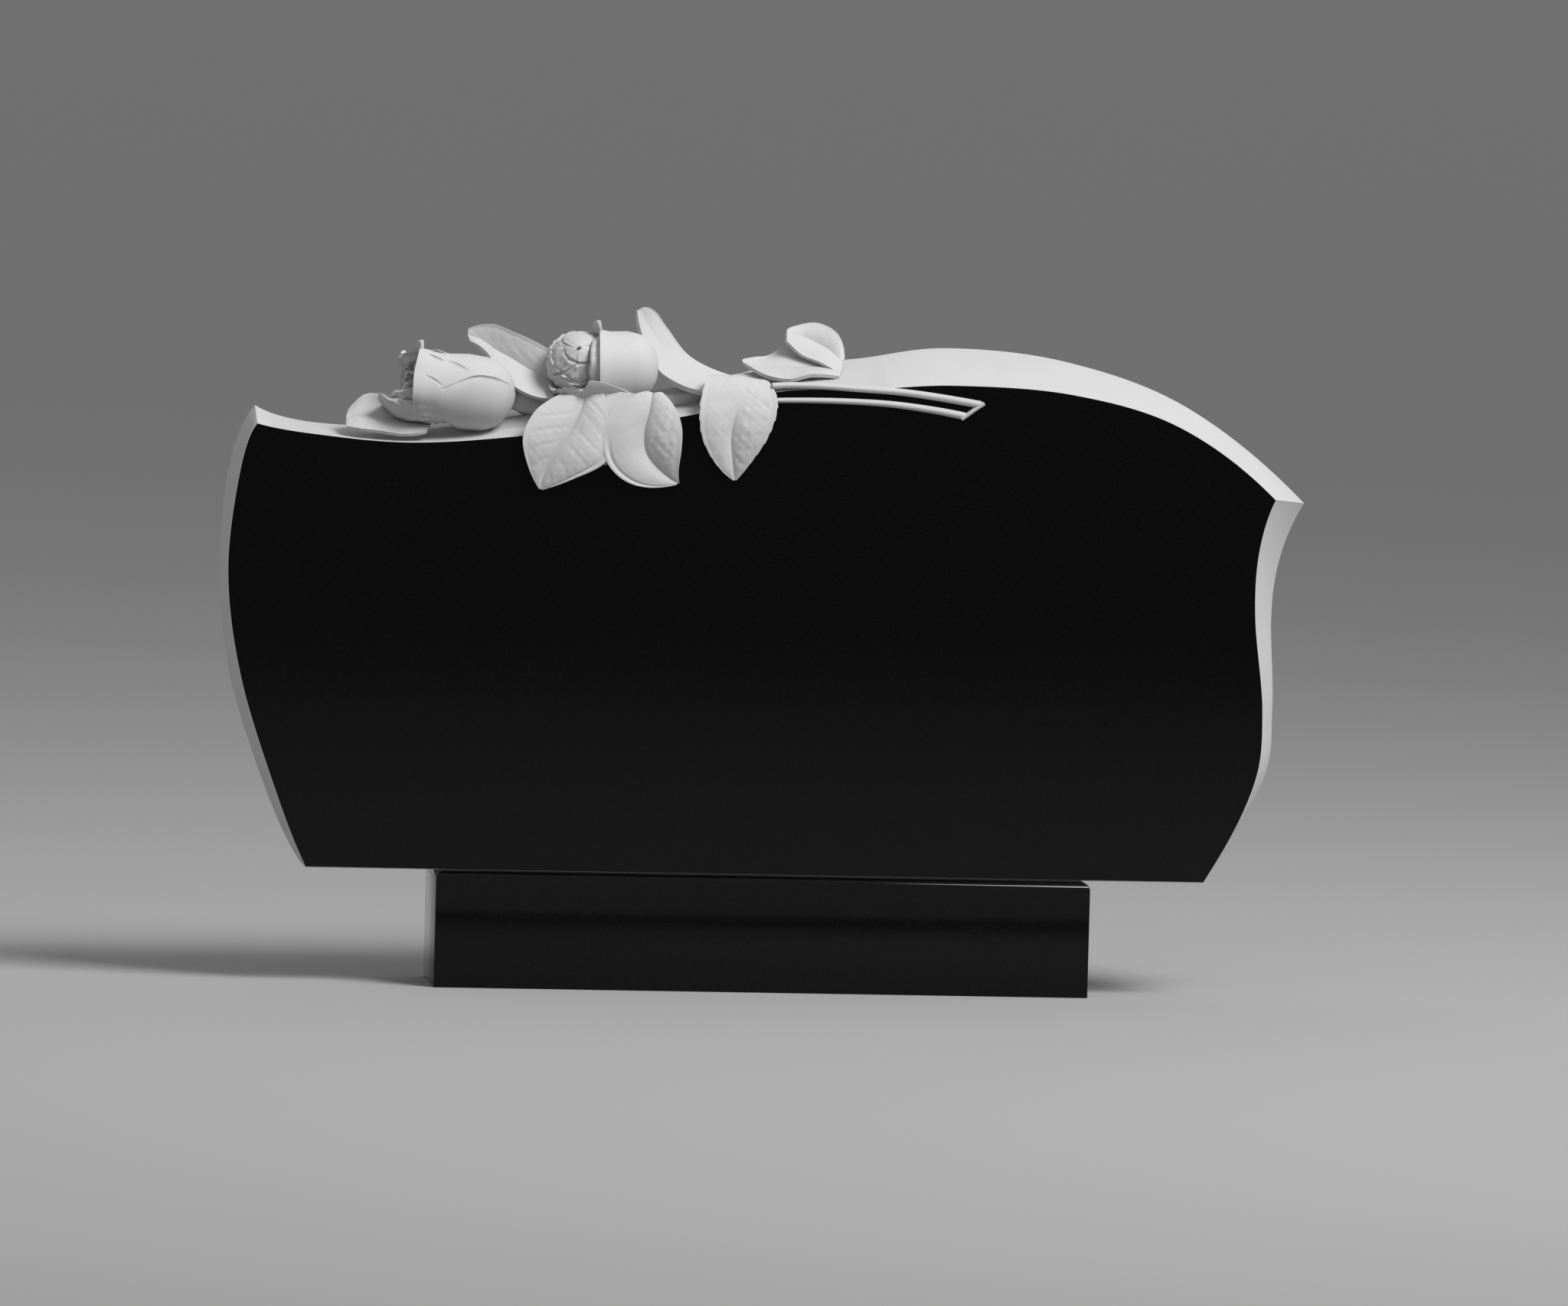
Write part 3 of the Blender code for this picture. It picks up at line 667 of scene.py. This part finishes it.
# %% The left rose
LEFT_ROSE = flower_frame(foot=(-145, -38, 22), opens=(-0.94, 0.22, 0.12))
LEFT_CUP = ((0, 12), (6, 24), (16, 33), (32, 38), (56, 39), (84, 36), (104, 35), (150, 30))
LEFT_JAW = ((0, 12), (30, 34), (60, 37), (90, 41), (112, 42), (128, 39), (142, 30), (158, 12))
LEFT_CHIN = ((60, 26), (96, 29), (118, 30), (130, 27), (142, 20), (156, 6))
LEFT_HEART = ((60, 26), (96, 26), (112, 24), (126, 17), (150, 8))
LEFT_CORE = ((0, 6), (3, 16), (12, 27), (28, 33), (60, 34), (80, 29), (88, 18), (90, 1))
LEFT_PETALS = dict(
    back=dict(profile=LEFT_CUP, turn=0.80, span=0.20, base=4, reach=118, flare=5, wave=1.5),
    jaw=dict(
        profile=LEFT_JAW, turn=0.51, span=0.16, base=6, reach=151, flare=0, rough=1.5, power=2.5, thickness=7,
        tilt=7,
    ),
    chin=dict(
        profile=LEFT_CHIN, turn=0.44, span=0.16, base=60, reach=141, flare=0, rough=1.6, power=2.5,
        thickness=8,
    ),
    cheek=dict(
        profile=LEFT_CHIN, turn=0.34, span=0.14, base=60, reach=131, grow=-6, flare=0, rough=1.6,
        thickness=8,
    ),
    top=dict(
        profile=LEFT_CUP, turn=0.00, span=0.13, base=60, reach=118, grow=-0.5, flare=0, peak=15, crown=0.45,
    ),
    side=dict(
        profile=LEFT_CUP, turn=0.10, span=0.325, base=4, reach=112, lean=15, grow=1.0, flare=4.5, wave=1.8,
        point=0.04,
    ),
)
LEFT_HEART_PETALS = dict(
    heart_a=dict(turn=0.93, span=0.11, reach=132, grow=3, flare=14, wave=1.5, peak=4, rough=0.6),
    heart_b=dict(turn=0.22, span=0.15, reach=112, flare=3, wave=2.5, thickness=7, rough=0.8),
    heart_c=dict(turn=0.60, span=0.18, reach=122, flare=3, wave=2.5, thickness=7, rough=0.8),
    heart_d=dict(turn=0.08, span=0.11, reach=119, grow=-6, flare=5, wave=2, thickness=7, rough=0.8),
    heart_e=dict(turn=0.42, span=0.10, reach=115, grow=-6, flare=5, wave=2, thickness=7, rough=0.8),
    heart_f=dict(turn=0.78, span=0.12, reach=122, grow=-6, flare=5, wave=2, thickness=7, rough=0.8),
    heart_g=dict(turn=0.28, span=0.12, reach=118, grow=-13, flare=5, thickness=6, rough=0.8),
    heart_h=dict(turn=0.62, span=0.12, reach=121, grow=-13, flare=5, thickness=6, rough=0.8),
    heart_i=dict(turn=0.95, span=0.12, reach=119, grow=-13, flare=5, thickness=6, rough=0.8),
)
LEFT_PETALS |= {name: dict(profile=LEFT_HEART, base=60, **shape) for name, shape in LEFT_HEART_PETALS.items()}
LEFT_FRONT = dict(
    profile=LEFT_CUP, turn=0.345, span=0.155, base=1, reach=104, grow=4.2, flare=-3.5, point=0.45, power=2.0,
    foot=0.9,
)
LEFT_GROOVES = dict(
    rim=dict(
        path=(
            (10, 30, 0.19), (18, 36.6, 0.186), (32, 41.3, 0.182), (50, 42.3, 0.184),
            (66, 41.8, 0.205), (84, 39.8, 0.245), (98, 39.6, 0.27),
        ),
        width=7.0,
    ),
    high=dict(path=((108, 39.8, 0.09), (99, 39.2, 0.10), (90, 39.2, 0.115)), width=5.6),
    top=dict(path=((88, 39.4, 0.105), (76, 40.5, 0.13), (62, 41.8, 0.165)), width=6.0),
    side=dict(path=((118, 39.6, 0.20), (104, 38.9, 0.22), (91, 39.3, 0.25)), width=5.6),
)
carvings += rose("rose_left", LEFT_ROSE, LEFT_CORE, LEFT_PETALS, LEFT_GROOVES)
# The front petal comes after the grooves, so that the long one, which runs along its rim, doesn't cut it.
carvings.append(petal("rose_left_front", LEFT_ROSE, **LEFT_FRONT))
print("left rose:", len(LEFT_PETALS) + 1, "petals")

# %% The right rose
# Its heart has turned to the viewer: a lumpy ball of folded petals round an axis of its own, with creases cut
# between the folds.
RIGHT_ROSE = flower_frame(foot=(10, -42, 58), opens=(-0.95, 0.28, -0.02))
RIGHT_CUP = ((0, 14), (5, 26), (14, 34), (30, 38), (60, 38), (84, 36), (110, 32))
RIGHT_CORE = ((0, 8), (3, 20), (12, 30), (30, 34), (56, 34), (70, 30), (84, 20), (88, 2))
RIGHT_PETALS = dict(
    back=dict(profile=RIGHT_CUP, turn=0.76, span=0.20, base=4, reach=70, flare=2),
    outer=dict(
        profile=RIGHT_CUP, turn=0.11, span=0.37, base=4, reach=64, lean=15, grow=1.4, flare=2.5, point=0.03,
    ),
    collar=dict(
        profile=RIGHT_CUP, turn=0.14, span=0.32, base=30, reach=70, lean=15, grow=-1.5, flare=-3, rough=1.2,
    ),
    spike=dict(
        profile=RIGHT_CUP, turn=-0.02, span=0.12, base=40, reach=66, grow=0.6, flare=0, peak=14, crown=0.42,
    ),
    tongue=dict(
        profile=RIGHT_CUP, turn=0.445, span=0.145, base=8, reach=95, grow=1.6, flare=1, lip=4.5, point=0.04,
        foot=0.0, full=1.0,
    ),
    under=dict(
        profile=RIGHT_CUP, turn=0.54, span=0.17, base=50, reach=114, grow=3.5, flare=-8, rough=1.4,
        thickness=8,
    ),
)
carvings += rose("rose_right", RIGHT_ROSE, RIGHT_CORE, RIGHT_PETALS, {})

HEART_FRAME = flower_frame(foot=(-71, -56, 46), opens=(-0.08, 0.85, 0.5))
HEART_BALL = ((0, 24), (12, 31), (28, 34), (40, 32), (50, 26), (57, 17), (61, 9), (63, 2))
HEART_CORE = ((0, 18), (12, 24), (28, 27), (40, 25), (48, 19), (54, 10), (57, 1))
HEART_PETALS = dict(
    ball=dict(
        turn=0.5, span=0.5, base=0, reach=63, flare=0, rough=1.5, point=0, foot=1, thickness=12, columns=61,
    ),
    a=dict(turn=0.25, span=0.19, base=2, reach=50, grow=1, flare=0.5, thickness=7, rough=0.8),
    b=dict(turn=0.66, span=0.19, base=2, reach=46, grow=1.6, flare=0.5, thickness=7, rough=1.3),
    c=dict(turn=0.92, span=0.15, base=2, reach=44, grow=1.3, flare=1.5, thickness=7, rough=1.3),
)
HEART_PETALS = {name: dict(profile=HEART_BALL, **shape) for name, shape in HEART_PETALS.items()}
HEART_GROOVES = dict(
    right=dict(path=((62, 7, 0.12), (57, 17, 0.20), (50, 26, 0.25), (38, 33.5, 0.27)), width=5.0),
    lower=dict(path=((62, 7, 0.52), (56, 19, 0.54), (48, 28, 0.60), (36, 34.5, 0.66)), width=5.0),
    upper=dict(path=((62, 7, 0.80), (55, 20, 0.84), (45, 30.5, 0.88), (34, 35, 0.95)), width=5.0),
    under=dict(path=((52, 25, 0.30), (45, 31, 0.38), (42, 33, 0.48), (45, 31, 0.60)), width=4.6),
    swirl=dict(path=((55, 20, 0.28), (57, 17, 0.45), (58, 15, 0.62), (56, 18, 0.80)), width=4.6),
)
carvings += rose("rose_right_heart", HEART_FRAME, HEART_CORE, HEART_PETALS, HEART_GROOVES)
print("right rose:", len(RIGHT_PETALS) + len(HEART_PETALS), "petals")

# %% [markdown]
# ## The cut stems
# Two thin ribs of stone run to the right over the polished face and meet in one slanting cut. A stem is a
# half-round section carried along a smooth line, wider towards its cut end.

# %% The stems
STEM_HEIGHT = 5.5
STEM_FOOT = -8
STEM_LINES = dict(
    stem_upper=dict(
        line=((137, 0, 41.3), (182, 0, 42.5), (236, 0, 40), (280, 0, 37.5), (322, 0, 32.5), (367, 0, 25.5)),
        width=(6.5, 8.5),
    ),
    stem_lower=dict(
        line=((128, 0, 25), (190, 0, 26.5), (255, 0, 25), (305, 0, 20), (350, 0, 12.5)),
        width=(5.5, 8.5),
    ),
    stem_cut=dict(line=((346, 0, 9.5), (353, 0, 14.5), (361, 0, 20.5), (371, 0, 27)), width=(5, 5)),
)


def stem(name, line, width, rows=30, sides=12):
    """The section is half a circle pulled to the stem's height, with straight feet that reach into the
    face. The width goes evenly from its first value to its second."""
    s = np.linspace(0, 1, rows)
    middle = through(line, s)
    run = np.gradient(middle, axis=0)[:, [0, 2]]
    run /= np.linalg.norm(run, axis=1, keepdims=True)
    angle = np.linspace(0, np.pi, sides)
    half = (width[0] + (width[1] - width[0]) * s)[:, None] / 2
    across = half * np.cos(angle)
    out = STEM_HEIGHT * np.sin(angle) ** 0.8 - 0.5 + 0 * half
    x = middle[:, :1] - run[:, 1:] * across
    z = middle[:, 2:] + run[:, :1] * across
    rings = np.stack([x, out, z], axis=-1)
    foot = rings[:, [-1, 0]] * (1, 0, 1) + (0, STEM_FOOT, 0)
    return bar(name, placed(np.concatenate([rings, foot], axis=1)), [honed])


carvings += [stem(name, **shape) for name, shape in STEM_LINES.items()]

# %% [markdown]
# ## The bed under the flowers
# Between the flowers the carver leaves a low bank of stone that ties them to the slab. It is an oval section
# carried along the slab's top edge, which dies away at both ends.

# %% The bed
BANKS = dict(
    flower_bed=dict(
        line=(
            (-262, -58, -24), (-200, -58, -20), (-120, -58, -8), (-50, -58, 7),
            (20, -58, 20), (80, -58, 34), (140, -58, 46), (205, -58, 50),
        ),
        depth=22,
        height=12,
    ),
    leaf_bank=dict(
        line=((-70, -52, 18), (-105, -52, 16), (-140, -54, 22), (-168, -56, 46)),
        depth=17,
        height=16,
    ),
)


def bank(name, line, depth, height, rows=60, sides=28):
    """An oval of the given half depth and half height, carried along the line. Its size follows a root of
    half a sine wave, so the ends are blunt, and two slow waves make it uneven."""
    s = np.linspace(0, 1, rows)
    middle = through(line, s)[:, None]
    size = (np.sin(np.pi * s) ** 0.4 + 0.1)[:, None]
    angle = np.linspace(0, 2 * np.pi, sides, endpoint=False)[None]
    ripple = 1 + 0.06 * np.sin(5 * angle + 9 * s[:, None]) + 0.05 * np.sin(23 * s[:, None] + 2 * angle)
    out = depth * np.cos(angle) * size * ripple
    up = height * np.sin(angle) * size * ripple
    ring = np.stack([0 * angle * size, out, up], axis=-1)
    return bar(name, placed(middle + ring), [honed])


carvings += [bank(name, **shape) for name, shape in BANKS.items()]

# %% [markdown]
# ## One stone
# The slab and all its carvings are one block, so their meshes are united into one closed surface. The exact
# solver gives up on petals this thin, and the solver for closed meshes unites them in a few seconds.

# %% Unite the block
SHARP_ANGLE = math.radians(38)


def triangles(thing):
    """A face with n corners makes n - 2 triangles."""
    return sum(len(p.vertices) - 2 for p in thing.data.polygons)


def smooth(thing):
    """Smooth shading, apart from edges that bend by more than the sharp angle."""
    thing.data.shade_smooth()
    thing.data.set_sharp_from_angle(angle=SHARP_ANGLE)


def unite(block, parts):
    """Adds or cuts each part in turn, takes the result as the block's own mesh and removes the parts."""
    for part in parts:
        join = block.modifiers.new(part.name, "BOOLEAN")
        join.operation = "DIFFERENCE" if part.name.startswith("cut_") else "UNION"
        join.solver = "MANIFOLD"
        join.material_mode = "TRANSFER"
        join.object = part
    result = bpy.data.meshes.new_from_object(block.evaluated_get(bpy.context.evaluated_depsgraph_get()))
    block.modifiers.clear()
    old, block.data = block.data, result
    bpy.data.meshes.remove(old)
    for part in parts:
        bpy.data.objects.remove(part, do_unlink=True)


unite(headstone, carvings)
headstone.data.name = "headstone"
smooth(headstone)
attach(headstone, "root")
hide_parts("stele")
print("headstone:", triangles(headstone), "triangles")

# %% [markdown]
# ## The plinth
# The plinth is a plain polished block, narrower than the slab, whose four top edges are rounded with a stone
# router. Its section is the same rectangle at each height, drawn in along a quarter circle at the top.

# %% The plinth
PLINTH_ROUND = 9 * MM
CORNER_ROUND = 1.5 * MM
FOOT_CHAMFER = 0.6 * MM


def rounded_rectangle(half_x, half_y, radius, steps=5):
    """Corner arcs of the given radius, anticlockwise from the right front corner."""
    arc = np.linspace(-np.pi / 2, 0, steps)
    lines = []
    for turn, (sx, sy) in enumerate(((1, -1), (1, 1), (-1, 1), (-1, -1))):
        angle = arc + turn * np.pi / 2
        centre = np.array((sx * (half_x - radius), sy * (half_y - radius)))
        lines.append(centre + radius * np.stack([np.cos(angle), np.sin(angle)], axis=1))
    return np.concatenate(lines)


def plinth():
    """Rounded rectangles from the foot to the top, each with its own inset and level."""
    half_x, half_y = plinth_high[0], plinth_high[1]
    angle = np.linspace(0, np.pi / 2, 9)
    inset = np.concatenate([[FOOT_CHAMFER, 0], PLINTH_ROUND * (1 - np.cos(angle))])
    level = np.concatenate([[0, FOOT_CHAMFER], plinth_high[2] - PLINTH_ROUND * (1 - np.sin(angle))])
    lines = [rounded_rectangle(half_x - d, half_y - d, CORNER_ROUND) for d in inset]
    rings = np.stack([np.insert(line, 2, z, axis=1) for line, z in zip(lines, level)])
    return bar("plinth_block", rings, [polished])


plinth_block = plinth()
smooth(plinth_block)
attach(plinth_block, "root")
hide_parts("plinth")
print("plinth:", triangles(plinth_block), "triangles")

# %% [markdown]
# ## Floor, light and camera
# The floor is wide, pale and matt. One large soft lamp stands high on the right in front, as the bright top
# and right edges of the stone ask for, and an even sky fills the shadows. The camera stands 14 metres away
# with a long lens, a little to the left and a little above the stone, as the almost level lines show.

# %% The floor
FLOOR_RADIUS = 400.0
FLOOR_GREY = 0.33


def floor():
    """A disc: a grid of rings by sides, from the middle outwards."""
    radius = np.concatenate([[0.001], np.geomspace(1, FLOOR_RADIUS, 10)])[:, None]
    angle = np.linspace(0, 2 * np.pi, 48, endpoint=False)[None]
    points = np.stack([radius * np.cos(angle), radius * np.sin(angle), 0 * radius * angle], axis=-1)
    ring = np.arange(points[..., 0].size).reshape(points.shape[:2])
    faces = round_walls(ring)
    mesh = bpy.data.meshes.new("floor")
    mesh.from_pydata(points.reshape(-1, 3).tolist(), [], faces[:, ::-1].tolist())
    ground = bpy.data.objects.new("floor", mesh)
    bpy.context.scene.collection.objects.link(ground)
    pale = bpy.data.materials.new("pale_floor")
    pale.use_nodes = True
    shader = pale.node_tree.nodes["Principled BSDF"]
    shader.inputs["Base Color"].default_value = (FLOOR_GREY, FLOOR_GREY, FLOOR_GREY, 1)
    shader.inputs["Roughness"].default_value = 0.9
    shader.inputs["Specular IOR Level"].default_value = 0.1
    mesh.materials.append(pale)


floor()

# %% The lamp and the sky
AIM = np.array((0.0, 0.0, 0.37))
SKY_GREY = 0.8
SKY_STRENGTH = 0.56


def lamp(name, place, size, power, spread):
    """A square soft lamp that looks at the stone."""
    light = bpy.data.lights.new(name, "AREA")
    light.shape = "SQUARE"
    light.size = size
    light.energy = power
    light.spread = spread
    thing = bpy.data.objects.new(name, light)
    thing.location = place
    back = np.array(place) - AIM
    yaw = math.atan2(back[0], -back[1])
    tilt = math.atan2(math.hypot(back[0], back[1]), back[2])
    thing.rotation_euler = (tilt, 0, yaw)
    bpy.context.scene.collection.objects.link(thing)


lamp("key_lamp", place=(4.3, -4.6, 7.5), size=4.2, power=225, spread=math.radians(80))
sky = bpy.data.worlds.new("studio_sky")
sky.use_nodes = True
sky.node_tree.nodes["Background"].inputs["Color"].default_value = (SKY_GREY, SKY_GREY, SKY_GREY, 1)
sky.node_tree.nodes["Background"].inputs["Strength"].default_value = SKY_STRENGTH
bpy.context.scene.world = sky
bpy.context.scene.view_settings.view_transform = "Standard"

# %% The camera
DISTANCE = 14.0
YAW, PITCH, ROLL = (math.radians(angle) for angle in (6.0, 3.2, 1.45))
PIXELS_PER_METRE = 1188
PHOTO_WIDTH = 2048
SENSOR_WIDTH = 36.0
CAMERA_AIM = np.array((0.0233, 0.0, 0.369))


def camera():
    """The picture's right and up directions, rolled a little, and the view between them make the camera's
    turn. The lens follows from the distance and the pixels that a metre fills in the picture."""
    view = np.array((math.sin(YAW) * math.cos(PITCH), math.cos(YAW) * math.cos(PITCH), -math.sin(PITCH)))
    right = np.array((math.cos(YAW), -math.sin(YAW), 0.0))
    up = np.cross(right, view)
    across = math.cos(ROLL) * right + math.sin(ROLL) * up
    above = math.cos(ROLL) * up - math.sin(ROLL) * right
    lens = bpy.data.cameras.new("camera")
    lens.sensor_width = SENSOR_WIDTH
    lens.lens = PIXELS_PER_METRE * DISTANCE / PHOTO_WIDTH * SENSOR_WIDTH
    lens.clip_end = 1000.0
    thing = bpy.data.objects.new("camera", lens)
    matrix = np.eye(4)
    matrix[:3, :3] = np.stack([across, above, -view], axis=1)
    matrix[:3, 3] = CAMERA_AIM - DISTANCE * view
    thing.matrix_world = Matrix(matrix.tolist())
    bpy.context.scene.collection.objects.link(thing)
    bpy.context.scene.camera = thing
    return thing


eye = camera()
print("camera at", [round(v, 3) for v in eye.location], "lens", round(eye.data.lens, 1), "mm")
